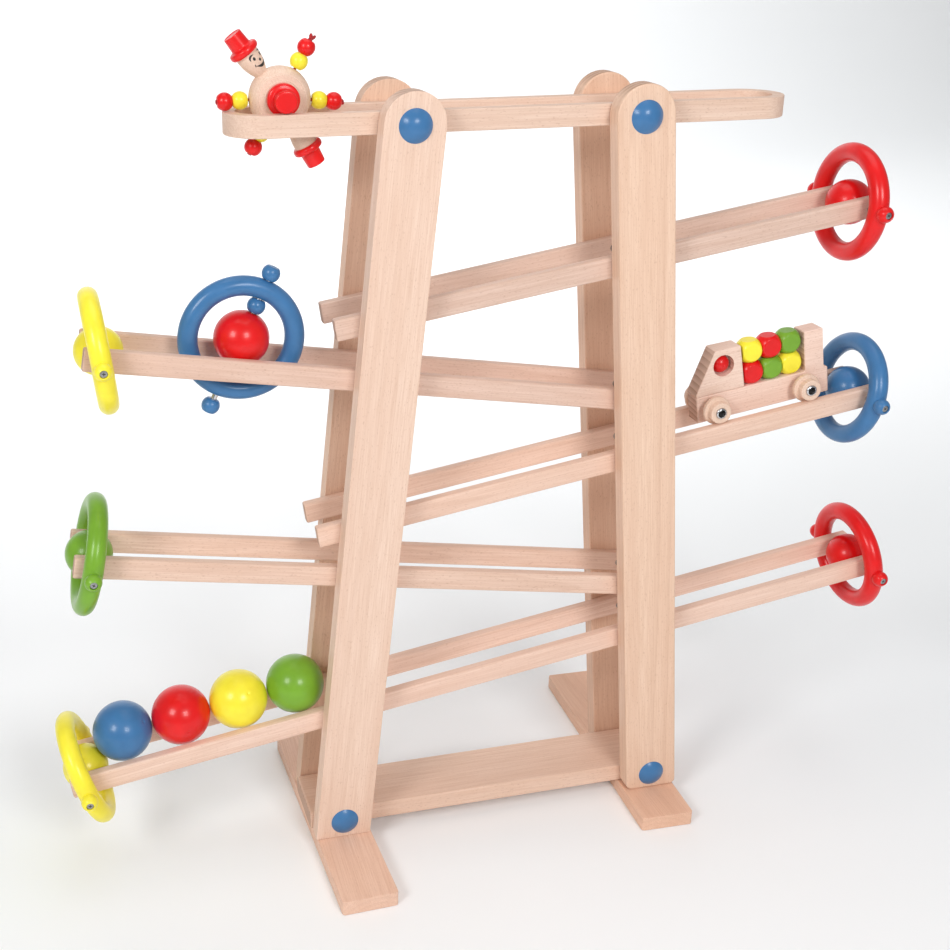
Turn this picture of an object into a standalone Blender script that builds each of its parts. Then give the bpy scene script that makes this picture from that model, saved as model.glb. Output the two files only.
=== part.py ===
"""Wooden marble run: two pairs of leaning posts carry five sloping two-rail ramps and a top loop.

Lengths are in millimetres in the constants and in metres in the model.
X runs along the ramps, Y through the stand and Z up. The last step moves the whole model so that
its bounding box stands on the origin.
"""

import math

import bmesh
import bpy
from mathutils import Matrix, Vector

MM = 0.001
GAP = 0.2

# Stand
FOOT_WIDTH = 48.0
FOOT_LENGTH = 243.0
FOOT_HEIGHT = 13.0
FOOT_CORNER = 2.6
FEET = {
    "left": (-146.0, -4.0, math.radians(1.8)),
    "right": (146.0, 35.0, math.radians(-1.6)),
}
STRETCHER_LEFT = -172.0
STRETCHER_RIGHT = 164.0
STRETCHER_HEIGHT = 16.0
POST_BASE_X = 146.0
POST_WIDTH = 48.0
POST_THICKNESS = 16.0
POST_LENGTH = 641.0
POST_LEAN = math.radians(5.1)
POST_BASE_EASE = {"left": 1.2, "right": 6.0}
POST_INNER_Y = 28.6

# Caps over the post screws
TOP_CAP_Z = 626.5
LOW_CAP_Z = 28.5
TOP_CAP_PROFILE = [(0.0, 6.4), (5.6, 5.8), (10.2, 3.8), (12.9, 0.9), (12.9, 0.0), (0.0, 0.0)]
LOW_CAP_PROFILE = [(0.0, 4.4), (5.2, 4.0), (9.4, 2.7), (12.0, 0.6), (12.0, 0.0), (0.0, 0.0)]
CAP_LEVELS = (("top", TOP_CAP_Z, TOP_CAP_PROFILE), ("low", LOW_CAP_Z, LOW_CAP_PROFILE))

# Top loop
LOOP_LOW = 618.4
LOOP_HEIGHT = 16.7
LOOP_HALF_WIDTH = 28.0
LOOP_WALL = 9.5
LOOP_LEFT = -225.7
LOOP_RIGHT = 227.6

# Ramps: height of the rail tops at x = 0, slope, left end, right end
SLOPE = 0.16
SLOPE_ANGLE = math.atan(SLOPE)
RAIL_HEIGHT = 17.5
RAIL_INNER_Y = 19.5
RAIL_OUTER_Y = 28.4
RAMPS = {
    1: (501.8, SLOPE, -148.0, 317.8),
    2: (415.8, -SLOPE, -339.6, 138.0),
    3: (329.8, SLOPE, -163.0, 340.8),
    4: (243.8, -SLOPE, -357.8, 150.0),
    5: (157.8, SLOPE, -373.2, 365.0),
}

# Stop balls and swinging rings at the ramp ends: ramp, x, ring lean (positive towards +X), colour
END_SETS = {
    "1_right": (1, 304.1, 0.048, "red"),
    "2_left": (2, -326.2, -0.119, "yellow"),
    "3_right": (3, 327.1, 0.196, "blue"),
    "4_left": (4, -344.1, 0.221, "green"),
    "5_left": (5, -359.7, -0.359, "yellow"),
    "5_right": (5, 351.3, -0.116, "red"),
}
STOP_RADIUS = 19.1
RING_CENTRE_RADIUS = 41.5
RING_TUBE = 8.15
RING_BEAD_RADIUS = 6.9
RING_BEAD_Y = 51.0
RING_PIN_RADIUS = 2.2
RING_PIN_START_Y = 28.9

# Loose balls parked at the low end of the lowest ramp
BALL_RADIUS = 25.0
BALL_COLOURS = ["blue", "red", "yellow", "green"]
BALL_STEP = 50.3

# Ball in a ring on the second ramp
ROLLER_X = -217.9
ROLLER_BALL_RADIUS = 22.0
ROLLER_RING_RADIUS = 42.0
ROLLER_TUBE = 8.0
ROLLER_LEAN = math.radians(25.9)
ROLLER_PIN_RADIUS = 2.4
ROLLER_BEADS = (55.8, 28.0, -28.0, -59.4)
ROLLER_BEAD_PROFILE = [(0.0, 5.6), (4.7, 5.6), (6.7, 2.9), (7.3, 0.0), (6.7, -2.9), (4.7, -5.6), (0.0, -5.6)]

# Truck on the third ramp; its outline runs along the slope (u) and square to it (v), v = 0 at the rail tops
TRUCK_X = 230.0
TRUCK_HALF_WIDTH = 8.6
TRUCK_BED = [
    (-52.6, -2.6), (72.6, -2.6), (72.6, 20.8), (69.0, 20.8), (69.0, 57.5), (50.8, 57.5), (50.8, 20.8),
    (-52.6, 20.8),
]
TRUCK_CAB = [(-52.6, 21.0), (-7.0, 21.0), (-8.6, 59.6), (-32.6, 60.2), (-52.6, 23.8)]
WINDOW_U = -25.6
WINDOW_V = 45.0
WINDOW_RADIUS = 9.6
AXLE_U = (-38.6, 46.4)
AXLE_V = 9.7
AXLE_RADIUS = 2.6
WHEEL_PROFILE = [
    (0.0, 25.4), (8.4, 25.4), (9.4, 24.6), (9.4, 19.2), (11.7, 19.0), (12.4, 18.3), (12.4, 14.9),
    (11.6, 14.2),
    (2.6, 14.2),
]
CARGO_WIDTH = 18.0
CARGO_HEIGHT = 19.2
CARGO_U = (2.6, 20.9, 39.2)
CARGO_V = (30.8, 50.4)
CARGO = {
    "low_1": (0, 0, "red"),
    "low_2": (1, 0, "green"),
    "low_3": (2, 0, "yellow"),
    "top_1": (0, 1, "yellow"),
    "top_2": (1, 1, "red"),
    "top_3": (2, 1, "green"),
}

# Tumbling clown on the top loop
CLOWN_X = -182.9
HUB_RADIUS = 8.8
CLOWN_Z = LOOP_LOW + LOOP_HEIGHT + HUB_RADIUS
HUB_PROFILE = [
    (0.0, 27.8), (7.8, 27.8), (8.8, 26.8), (8.8, 18.2), (11.6, 17.9), (12.4, 17.0), (12.4, 11.6), (3.0, 11.6),
]
BODY_PROFILE = [(3.35, 11.3), (13.0, 11.3), (13.8, 10.3), (18.0, 9.4), (21.0, 6.6), (22.7, 3.3), (23.2, 0.0)]
HEAD_ANGLES = (127.0, 299.0)
HEAD_PROFILE = [
    (0.0, 57.3), (6.9, 57.0), (7.6, 45.6), (10.4, 45.0), (11.6, 42.8), (11.1, 40.4), (9.0, 39.3),
    (8.9, 35.6), (7.8, 29.4), (5.6, 23.8), (4.2, 21.0), (4.2, 15.0), (0.0, 15.0),
]
ARM_ANGLES = {"right": -5.5, "upper": 60.0, "left": 182.3, "lower": 240.0}
ARM_PROFILE = [
    (0.0, 49.6), (2.2, 48.6), (1.6, 46.9), (4.6, 45.3), (6.3, 42.2), (6.3, 39.8), (4.6, 36.6), (1.6, 35.4),
    (4.6, 34.0), (6.3, 31.0), (6.3, 28.4), (4.6, 25.3), (1.8, 23.8), (0.0, 23.8),
]

COLOURS = {
    "wood": (0.72, 0.50, 0.36, 1.0),
    "blue": (0.05, 0.20, 0.48, 1.0),
    "red": (0.72, 0.02, 0.02, 1.0),
    "yellow": (0.95, 0.78, 0.05, 1.0),
    "green": (0.17, 0.42, 0.04, 1.0),
}
ROUGHNESS = {"wood": 0.55, "blue": 0.25, "red": 0.25, "yellow": 0.25, "green": 0.25}

STRAIGHT_UP = Matrix.Identity(4)
FACE_FRONT = Matrix.Rotation(math.pi / 2, 4, "X")
ALONG_Y = Matrix.Rotation(-math.pi / 2, 4, "X")

for leftover in list(bpy.data.objects):
    bpy.data.objects.remove(leftover)

COLLECTION = bpy.data.collections.new("marble_run")
bpy.context.scene.collection.children.link(COLLECTION)


def set_material(obj, colour):
    material = bpy.data.materials.new(obj.name + "_" + colour)
    material.use_nodes = True
    shader = material.node_tree.nodes["Principled BSDF"]
    shader.inputs["Base Color"].default_value = COLOURS[colour]
    shader.inputs["Roughness"].default_value = ROUGHNESS[colour]
    shader.inputs["Metallic"].default_value = 0.0
    material.diffuse_color = COLOURS[colour]
    obj.data.materials.clear()
    obj.data.materials.append(material)


def evaluated_mesh(obj):
    depsgraph = bpy.context.evaluated_depsgraph_get()
    depsgraph.update()
    return bpy.data.meshes.new_from_object(obj.evaluated_get(depsgraph))


def tidy(mesh):
    """Weld doubled vertices and turn every face outwards."""
    work = bmesh.new()
    work.from_mesh(mesh)
    bmesh.ops.remove_doubles(work, verts=work.verts, dist=0.002 * MM)
    bmesh.ops.recalc_face_normals(work, faces=work.faces)
    work.to_mesh(mesh)
    work.free()


def bake(obj):
    """Replace the object by a mesh object that holds its modifiers' result."""
    mesh = evaluated_mesh(obj)
    tidy(mesh)
    name = obj.name
    world = obj.matrix_world.copy()
    bpy.data.objects.remove(obj)
    result = bpy.data.objects.new(name, mesh)
    COLLECTION.objects.link(result)
    result.name = name
    result.matrix_world = world
    bpy.context.view_layer.update()
    return result


def link_mesh(name, mesh):
    obj = bpy.data.objects.new(name, mesh)
    COLLECTION.objects.link(obj)
    obj.name = name
    bpy.context.view_layer.update()
    return obj


def slab(name, outlines, depth, turn=FACE_FRONT):
    """Flat piece cut to one or more outlines in millimetres, extruded to both sides of its plane."""
    curve = bpy.data.curves.new(name, "CURVE")
    curve.dimensions = "2D"
    curve.fill_mode = "BOTH"
    curve.extrude = depth * MM / 2
    for outline in outlines:
        spline = curve.splines.new("POLY")
        spline.points.add(len(outline) - 1)
        for point, (x, y) in zip(spline.points, outline):
            point.co = (x * MM, y * MM, 0.0, 1.0)
        spline.use_cyclic_u = True
    obj = bpy.data.objects.new(name, curve)
    COLLECTION.objects.link(obj)
    bpy.context.view_layer.update()
    obj = bake(obj)
    obj.data.transform(turn)
    return obj


def soften(obj, width, segments=1, angle=40.0):
    """Round the sharp edges of a mesh object."""
    modifier = obj.modifiers.new("soft_edges", "BEVEL")
    modifier.width = width * MM
    modifier.segments = segments
    modifier.limit_method = "ANGLE"
    modifier.angle_limit = math.radians(angle)
    return bake(obj)


def turned(name, profile, steps, turn=STRAIGHT_UP):
    """Solid of revolution about Z from a half profile (radius, height) that runs from top to bottom."""
    mesh = bpy.data.meshes.new(name)
    points = [(radius * MM, 0.0, height * MM) for radius, height in profile]
    edges = [(index, index + 1) for index in range(len(points) - 1)]
    mesh.from_pydata(points, edges, [])
    obj = link_mesh(name, mesh)
    modifier = obj.modifiers.new("turn", "SCREW")
    modifier.axis = "Z"
    modifier.angle = 2 * math.pi
    modifier.screw_offset = 0.0
    modifier.steps = steps
    modifier.render_steps = steps
    modifier.use_merge_vertices = True
    modifier.merge_threshold = 0.00001
    obj = bake(obj)
    obj.data.transform(turn)
    return obj


def sphere(name, radius, segments, rings, turn=STRAIGHT_UP):
    bpy.ops.mesh.primitive_uv_sphere_add(radius=radius * MM, segments=segments, ring_count=rings)
    obj = adopt(name)
    obj.data.transform(turn)
    return obj


def torus(name, radius, tube, segments, rings, turn=FACE_FRONT):
    bpy.ops.mesh.primitive_torus_add(
        major_radius=radius * MM, minor_radius=tube * MM, major_segments=segments, minor_segments=rings
    )
    obj = adopt(name)
    obj.data.transform(turn)
    return obj


def rod(name, radius, start, end, segments, turn=STRAIGHT_UP):
    """Round rod along Z from start to end."""
    bpy.ops.mesh.primitive_cylinder_add(radius=radius * MM, depth=(end - start) * MM, vertices=segments)
    obj = adopt(name)
    obj.data.transform(Matrix.Translation((0.0, 0.0, (start + end) / 2 * MM)))
    obj.data.transform(turn)
    return obj


def block(name, size_x, size_y, size_z):
    bpy.ops.mesh.primitive_cube_add(size=1.0)
    obj = adopt(name)
    obj.data.transform(Matrix.Diagonal((size_x * MM, size_y * MM, size_z * MM, 1.0)))
    return obj


def adopt(name):
    """Move the primitive that was just added into the model's collection under a new name."""
    obj = bpy.context.active_object
    for collection in list(obj.users_collection):
        collection.objects.unlink(obj)
    COLLECTION.objects.link(obj)
    obj.name = name
    obj.data.name = name
    return obj


def combine(target, tool, operation):
    """Join a tool to the target or cut it away, and drop the tool."""
    bpy.context.view_layer.update()
    modifier = target.modifiers.new(operation.lower(), "BOOLEAN")
    modifier.operation = operation
    modifier.solver = "EXACT"
    modifier.object = tool
    result = bake(target)
    bpy.data.objects.remove(tool)
    return result


def shift_mesh(obj, x, y, z):
    obj.data.transform(Matrix.Translation((x * MM, y * MM, z * MM)))
    return obj


def put(obj, x, y, z, colour, smooth=False, tilt=0.0, turn=0.0):
    """Give the piece its place, its tilt about Y, its turn about Z and its colour."""
    obj.location = (x * MM, y * MM, z * MM)
    obj.rotation_euler = (0.0, tilt, turn)
    set_material(obj, colour)
    if smooth:
        obj.data.shade_smooth()
    return obj


def arc(centre_x, centre_y, radius, start, end, count):
    """Points of an arc in degrees, both ends included."""
    points = []
    for index in range(count + 1):
        angle = math.radians(start + (end - start) * index / count)
        points.append((centre_x + radius * math.cos(angle), centre_y + radius * math.sin(angle)))
    return points


def rounded_rectangle(width, height, corner, count):
    half_x = width / 2 - corner
    half_y = height / 2 - corner
    points = arc(half_x, half_y, corner, 0, 90, count)
    points += arc(-half_x, half_y, corner, 90, 180, count)
    points += arc(-half_x, -half_y, corner, 180, 270, count)
    points += arc(half_x, -half_y, corner, 270, 360, count)
    return points


def eased_corner(before, corner, after, reach, count):
    """Corner of an outline eased into a short curve that starts and ends at the given reach from it."""
    ends = []
    for other in (before, after):
        span = math.dist(corner, other)
        ends.append([corner[i] + (other[i] - corner[i]) * reach / span for i in range(2)])
    points = []
    for index in range(count + 1):
        t = index / count
        weights = ((1 - t) ** 2, 2 * t * (1 - t), t * t)
        trio = (ends[0], corner, ends[1])
        points.append(tuple(sum(w * point[i] for w, point in zip(weights, trio)) for i in range(2)))
    return points


def post_centre(side, height):
    """X of a post's centre line at a height; side is -1 for left and +1 for right."""
    return side * (POST_BASE_X - (height - FOOT_HEIGHT) * math.tan(POST_LEAN))


def rail_top(ramp, x):
    top, slope, left, right = RAMPS[ramp]
    return top + slope * x


def rail_axis(ramp, x):
    """Height of the middle of a rail straight below its top at x."""
    return rail_top(ramp, x) - RAIL_HEIGHT / 2 * math.sqrt(1 + SLOPE * SLOPE)


def along_slope(ramp, x, up):
    """Point square above the rail top at x, at the distance up."""
    slope = RAMPS[ramp][1]
    angle = math.atan(slope)
    return (x - up * math.sin(angle), rail_top(ramp, x) + up * math.cos(angle))


# Feet, stretcher, posts
for side_name, (foot_x, foot_y, foot_turn) in FEET.items():
    outline = rounded_rectangle(FOOT_WIDTH, FOOT_LENGTH, FOOT_CORNER, 4)
    foot = slab("foot_" + side_name, [outline], FOOT_HEIGHT, STRAIGHT_UP)
    foot = soften(foot, 1.2, 1, 50.0)
    put(foot, foot_x, foot_y, FOOT_HEIGHT / 2, "wood", turn=foot_turn)

stretcher_depth = 2 * (POST_INNER_Y - GAP)
stretcher_length = STRETCHER_RIGHT - STRETCHER_LEFT
stretcher_x = (STRETCHER_LEFT + STRETCHER_RIGHT) / 2
stretcher = soften(block("stretcher", stretcher_length, stretcher_depth, STRETCHER_HEIGHT), 1.2)
put(stretcher, stretcher_x, 0.0, FOOT_HEIGHT + GAP + STRETCHER_HEIGHT / 2, "wood")

for side_name, side in (("left", -1), ("right", 1)):
    half = POST_WIDTH / 2
    lean = -side * POST_LEAN
    foot_z = FOOT_HEIGHT + GAP
    arc_centre = POST_LENGTH - half
    # The outline is drawn upright about the base centre, with its lower edge level after leaning.
    low_drop = half * math.tan(lean)
    start = GAP / math.cos(lean)
    low_left, low_right = (-half, start - low_drop), (half, start + low_drop)
    ease = POST_BASE_EASE[side_name]
    outline = eased_corner((-half, arc_centre), low_left, low_right, ease, 4)
    outline += eased_corner(low_left, low_right, (half, arc_centre), ease, 4)
    outline += arc(0.0, arc_centre, half, 0, 180, 20)
    for face_name, face in (("front", -1), ("back", 1)):
        post = slab("post_" + side_name + "_" + face_name, [outline], POST_THICKNESS)
        face_y = face * (POST_INNER_Y + POST_THICKNESS / 2)
        put(post, side * POST_BASE_X, face_y, FOOT_HEIGHT, "wood", tilt=lean)
        outer_y = face * (POST_INNER_Y + POST_THICKNESS + 0.05)
        turn = FACE_FRONT if face < 0 else ALONG_Y
        for level, height, profile in CAP_LEVELS:
            cap = turned("cap_" + level + "_" + side_name + "_" + face_name, profile, 18, turn)
            put(cap, post_centre(side, height), outer_y, height, "blue", smooth=True)

# Top loop
loop_outer = arc(LOOP_RIGHT - LOOP_HALF_WIDTH, 0.0, LOOP_HALF_WIDTH, -90, 90, 18)
loop_outer += arc(LOOP_LEFT + LOOP_HALF_WIDTH, 0.0, LOOP_HALF_WIDTH, 90, 270, 18)
inner_half = LOOP_HALF_WIDTH - LOOP_WALL
loop_inner = arc(LOOP_RIGHT - LOOP_HALF_WIDTH, 0.0, inner_half, -90, 90, 18)
loop_inner += arc(LOOP_LEFT + LOOP_HALF_WIDTH, 0.0, inner_half, 90, 270, 18)
loop = slab("top_loop", [loop_outer, loop_inner], LOOP_HEIGHT, STRAIGHT_UP)
put(loop, 0.0, 0.0, LOOP_LOW + LOOP_HEIGHT / 2, "wood")

# Rails
rail_width = RAIL_OUTER_Y - RAIL_INNER_Y
for ramp, (top, slope, left, right) in RAMPS.items():
    angle = math.atan(slope)
    length = (right - left) / math.cos(angle)
    middle = (left + right) / 2
    for face_name, face in (("front", -1), ("back", 1)):
        rail = soften(block("rail_" + str(ramp) + "_" + face_name, length, rail_width, RAIL_HEIGHT), 1.0)
        rail_y = face * (RAIL_INNER_Y + RAIL_OUTER_Y) / 2
        put(rail, middle, rail_y, rail_axis(ramp, middle), "wood", tilt=-angle)

# Stop balls and swinging rings
for set_name, (ramp, x, ring_lean, colour) in END_SETS.items():
    z = rail_axis(ramp, x)
    put(sphere("stop_ball_" + set_name, STOP_RADIUS, 16, 10), x, 0.0, z, colour, smooth=True)
    # The ring stands across the ramp and swings about Y on two pins.
    upright = Matrix.Rotation(math.pi / 2, 4, "Y")
    ring = torus("end_ring_" + set_name, RING_CENTRE_RADIUS, RING_TUBE, 28, 12, upright)
    for sign in (-1, 1):
        turn = FACE_FRONT if sign < 0 else ALONG_Y
        pin = rod("pin", RING_PIN_RADIUS, RING_PIN_START_Y, RING_BEAD_Y, 8, turn)
        ring = combine(ring, pin, "UNION")
        bead = sphere("bead", RING_BEAD_RADIUS, 10, 6, turn)
        shift_mesh(bead, 0.0, sign * RING_BEAD_Y, 0.0)
        ring = combine(ring, bead, "UNION")
    put(ring, x, 0.0, z, colour, smooth=True, tilt=ring_lean)

# Loose balls
stop_x = END_SETS["5_left"][1]
above_axis = math.sqrt(BALL_RADIUS ** 2 - RAIL_INNER_Y ** 2) + 0.25 + RAIL_HEIGHT / 2
first_along = math.sqrt((BALL_RADIUS + STOP_RADIUS + 0.3) ** 2 - above_axis ** 2)
for index, colour in enumerate(BALL_COLOURS):
    along = first_along + index * BALL_STEP
    ball_x = stop_x + along * math.cos(SLOPE_ANGLE) - above_axis * math.sin(SLOPE_ANGLE)
    ball_z = rail_axis(5, stop_x) + along * math.sin(SLOPE_ANGLE) + above_axis * math.cos(SLOPE_ANGLE)
    put(sphere("loose_ball_" + colour, BALL_RADIUS, 16, 10), ball_x, 0.0, ball_z, colour, smooth=True)

# Ball in a ring
roller_up = math.sqrt(ROLLER_BALL_RADIUS ** 2 - RAIL_INNER_Y ** 2) + 0.25
roller_x, roller_z = along_slope(2, ROLLER_X, roller_up)
roller_ball = sphere("roller_ball", ROLLER_BALL_RADIUS, 16, 10)
bore = rod("bore", ROLLER_PIN_RADIUS + 0.3, -30.0, 30.0, 10)
roller_ball = combine(roller_ball, bore, "DIFFERENCE")
put(roller_ball, roller_x, 0.0, roller_z, "red", smooth=True, tilt=ROLLER_LEAN)

roller = torus("roller_ring", ROLLER_RING_RADIUS, ROLLER_TUBE, 32, 8)
roller = combine(roller, rod("pin", ROLLER_PIN_RADIUS, ROLLER_BEADS[-1], ROLLER_BEADS[0], 8), "UNION")
for bead_at in ROLLER_BEADS:
    bead = shift_mesh(turned("bead", ROLLER_BEAD_PROFILE, 12, STRAIGHT_UP), 0.0, 0.0, bead_at)
    roller = combine(roller, bead, "UNION")
put(roller, roller_x, 0.0, roller_z, "blue", smooth=True, tilt=ROLLER_LEAN)


def truck_point(u, v):
    """Design X and Z of a point given along and square to the third ramp."""
    x = TRUCK_X + u * math.cos(SLOPE_ANGLE) - v * math.sin(SLOPE_ANGLE)
    z = rail_top(3, TRUCK_X) + u * math.sin(SLOPE_ANGLE) + v * math.cos(SLOPE_ANGLE)
    return x, z


# Truck
truck_x, truck_z = truck_point(0.0, 0.0)
bed = soften(slab("truck_bed", [TRUCK_BED], 2 * TRUCK_HALF_WIDTH), 0.8)
for axle_u in AXLE_U:
    hole = rod("hole", AXLE_RADIUS + 0.3, -20.0, 20.0, 16, FACE_FRONT)
    shift_mesh(hole, axle_u, 0.0, AXLE_V)
    bed = combine(bed, hole, "DIFFERENCE")
put(bed, truck_x, 0.0, truck_z, "wood", tilt=-SLOPE_ANGLE)

cab = soften(slab("truck_cab", [TRUCK_CAB], 2 * TRUCK_HALF_WIDTH), 0.7)
window = rod("window", WINDOW_RADIUS, -20.0, 20.0, 28, FACE_FRONT)
cab = combine(cab, shift_mesh(window, WINDOW_U, 0.0, WINDOW_V), "DIFFERENCE")
put(cab, truck_x, 0.0, truck_z, "wood", tilt=-SLOPE_ANGLE)

for wheel_name, axle_u in zip(("front", "rear"), AXLE_U):
    full_profile = WHEEL_PROFILE + [(radius, -height) for radius, height in reversed(WHEEL_PROFILE)]
    wheels = turned("truck_wheels_" + wheel_name, full_profile, 18, ALONG_Y)
    wheel_x, wheel_z = truck_point(axle_u, AXLE_V)
    put(wheels, wheel_x, 0.0, wheel_z, "wood", smooth=True)

for cargo_name, (column, row, colour) in CARGO.items():
    cube = soften(block("cargo_" + cargo_name, CARGO_WIDTH, 2 * TRUCK_HALF_WIDTH, CARGO_HEIGHT), 3.4, 2)
    cube_x, cube_z = truck_point(CARGO_U[column], CARGO_V[row])
    put(cube, cube_x, 0.0, cube_z, colour, tilt=-SLOPE_ANGLE)

# Clown: the hubs roll on the loop, the figure tumbles on their axle
hub_profile = HUB_PROFILE + [(radius, -height) for radius, height in reversed(HUB_PROFILE)]
hubs = turned("clown_hubs", hub_profile, 16, ALONG_Y)
put(hubs, CLOWN_X, 0.0, CLOWN_Z, "red", smooth=True)

body_profile = BODY_PROFILE + [(radius, -height) for radius, height in reversed(BODY_PROFILE[:-1])]
body_profile.append(BODY_PROFILE[0])
figure = turned("clown_figure", body_profile, 24, ALONG_Y)
for head_angle in HEAD_ANGLES:
    swing = Matrix.Rotation(math.radians(90.0 - head_angle), 4, "Y")
    figure = combine(figure, turned("head", HEAD_PROFILE, 14, swing), "UNION")
put(figure, CLOWN_X, 0.0, CLOWN_Z, "wood", smooth=True)

for arm_name, arm_angle in ARM_ANGLES.items():
    swing = Matrix.Rotation(math.radians(90.0 - arm_angle), 4, "Y")
    arm = turned("clown_arm_" + arm_name, ARM_PROFILE, 8, swing)
    put(arm, CLOWN_X, 0.0, CLOWN_Z, "red", smooth=True)

# Stand the bounding box on the origin
bpy.context.view_layer.update()
corners = [obj.matrix_world @ vertex.co for obj in COLLECTION.objects for vertex in obj.data.vertices]
low = Vector([min(corner[axis] for corner in corners) for axis in range(3)])
high = Vector([max(corner[axis] for corner in corners) for axis in range(3)])
offset = Vector(((low.x + high.x) / 2, (low.y + high.y) / 2, low.z))
for obj in COLLECTION.objects:
    obj.location -= offset
bpy.context.view_layer.update()
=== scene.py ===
"""Looks for the wooden marble run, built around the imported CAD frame.

Design positions are in millimetres from the middle of the stand at floor level: X runs along the
ramps, Y from the front to the back and Z up. World positions are metres in the frame's own axes.
"""

import math

import bmesh
import bpy
from mathutils import Matrix, Vector

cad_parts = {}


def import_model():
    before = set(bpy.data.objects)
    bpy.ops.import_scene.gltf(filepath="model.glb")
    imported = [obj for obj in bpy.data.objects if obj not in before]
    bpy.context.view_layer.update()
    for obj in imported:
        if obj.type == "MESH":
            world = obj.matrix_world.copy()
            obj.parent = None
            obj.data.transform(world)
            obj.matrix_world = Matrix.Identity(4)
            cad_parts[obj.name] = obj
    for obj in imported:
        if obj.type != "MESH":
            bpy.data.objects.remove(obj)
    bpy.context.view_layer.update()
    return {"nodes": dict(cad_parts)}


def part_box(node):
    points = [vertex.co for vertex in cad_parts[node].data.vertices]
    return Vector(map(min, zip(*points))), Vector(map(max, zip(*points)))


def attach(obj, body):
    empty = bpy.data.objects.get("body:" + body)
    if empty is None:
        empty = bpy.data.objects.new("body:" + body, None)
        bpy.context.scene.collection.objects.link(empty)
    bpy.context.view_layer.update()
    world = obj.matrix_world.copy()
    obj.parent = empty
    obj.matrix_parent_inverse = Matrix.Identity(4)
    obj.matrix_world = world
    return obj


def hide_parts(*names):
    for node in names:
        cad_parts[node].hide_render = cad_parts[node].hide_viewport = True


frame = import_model()

MM = 0.001
SLOPE = math.atan(0.16)
SLOPE_UP = (math.cos(SLOPE), 0.0, math.sin(SLOPE))
SLOPE_DOWN = (math.cos(SLOPE), 0.0, -math.sin(SLOPE))
LOOP_MIDDLE_X = 0.95
X_AXIS = Vector((1.0, 0.0, 0.0))
NO_TURN = (0.0, 0.0, 0.0)
FRONT = Matrix.Rotation(math.pi / 2, 4, "X")
BACK = Matrix.Rotation(-math.pi / 2, 4, "X")
FINE = 1


def stand_origin():
    """World place of the design origin, read from the top loop, whose middle is a little right of it."""
    low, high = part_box("top_loop")
    return Vector(((low.x + high.x) / 2 - LOOP_MIDDLE_X * MM, (low.y + high.y) / 2, 0.0))


ORIGIN = stand_origin()


def world(x, y, z):
    return ORIGIN + Vector((x, y, z)) * MM


def middle(node):
    low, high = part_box(node)
    return (low + high) / 2


# ---------------------------------------------------------------- materials


def new_material(name):
    material = bpy.data.materials.new(name)
    material.use_nodes = True
    nodes = material.node_tree.nodes
    return material, nodes, material.node_tree.links, nodes["Principled BSDF"]


def feed(links, value, socket):
    """Link a socket to a socket, or set a plain value."""
    if isinstance(value, bpy.types.NodeSocket):
        links.new(value, socket)
    else:
        socket.default_value = value


def mix_colour(nodes, links, factor, first, second):
    mix = nodes.new("ShaderNodeMix")
    mix.data_type = "RGBA"
    feed(links, factor, mix.inputs[0])
    feed(links, first, mix.inputs[6])
    feed(links, second, mix.inputs[7])
    return mix.outputs[2]


def remap(nodes, links, value, low, high, out_low, out_high):
    node = nodes.new("ShaderNodeMapRange")
    node.inputs["From Min"].default_value = low
    node.inputs["From Max"].default_value = high
    node.inputs["To Min"].default_value = out_low
    node.inputs["To Max"].default_value = out_high
    links.new(value, node.inputs["Value"])
    return node.outputs["Result"]


def combine_values(nodes, links, operation, first, second):
    node = nodes.new("ShaderNodeMath")
    node.operation = operation
    feed(links, first, node.inputs[0])
    feed(links, second, node.inputs[1])
    return node.outputs[0]


def stretched_noise(nodes, links, coords, size, turn, seed, detail=2.0, rough=0.5):
    """Noise whose cells have the given size in metres along the turned axes."""
    mapping = nodes.new("ShaderNodeMapping")
    mapping.vector_type = "TEXTURE"
    mapping.inputs["Location"].default_value = (0.371 * seed, 0.213 * seed, 0.137 * seed)
    mapping.inputs["Rotation"].default_value = turn
    mapping.inputs["Scale"].default_value = size
    links.new(coords.outputs["Object"], mapping.inputs["Vector"])
    texture = nodes.new("ShaderNodeTexNoise")
    texture.inputs["Scale"].default_value = 1.0
    texture.inputs["Detail"].default_value = detail
    texture.inputs["Roughness"].default_value = rough
    links.new(mapping.outputs["Vector"], texture.inputs["Vector"])
    return texture.outputs["Fac"]


def scaled(colour, factor):
    """The colour made darker or lighter, with full alpha."""
    return (*(min(1.0, channel * factor) for channel in colour), 1.0)


def add_bump(nodes, links, shader, height, strength, distance):
    bump = nodes.new("ShaderNodeBump")
    bump.inputs["Strength"].default_value = strength
    bump.inputs["Distance"].default_value = distance
    links.new(height, bump.inputs["Height"])
    links.new(bump.outputs["Normal"], shader.inputs["Normal"])


# Beech: pale and deep fibres, shaded bands, late wood, flecks, and the two tones of the end grain.
BEECH_PALE = (0.880, 0.665, 0.532)
BEECH_DEEP = (0.765, 0.532, 0.398)
BEECH_BAND = (0.745, 0.500, 0.370)
BEECH_LATE = (0.640, 0.400, 0.280)
BEECH_FLECK = (0.50, 0.275, 0.175)
BEECH_END_PALE = (0.61, 0.410, 0.300)
BEECH_END_DEEP = (0.43, 0.255, 0.170)
BEECH_ROUGHNESS = (0.45, 0.62)
RINGS_SCALE = 62.0
# The rings lie at a small tilt to the grain and are drawn out along it.
HEART_TILT = (0.022, 0.018)
HEART_STRETCH = (9.0, 1.0, 1.0)


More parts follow.
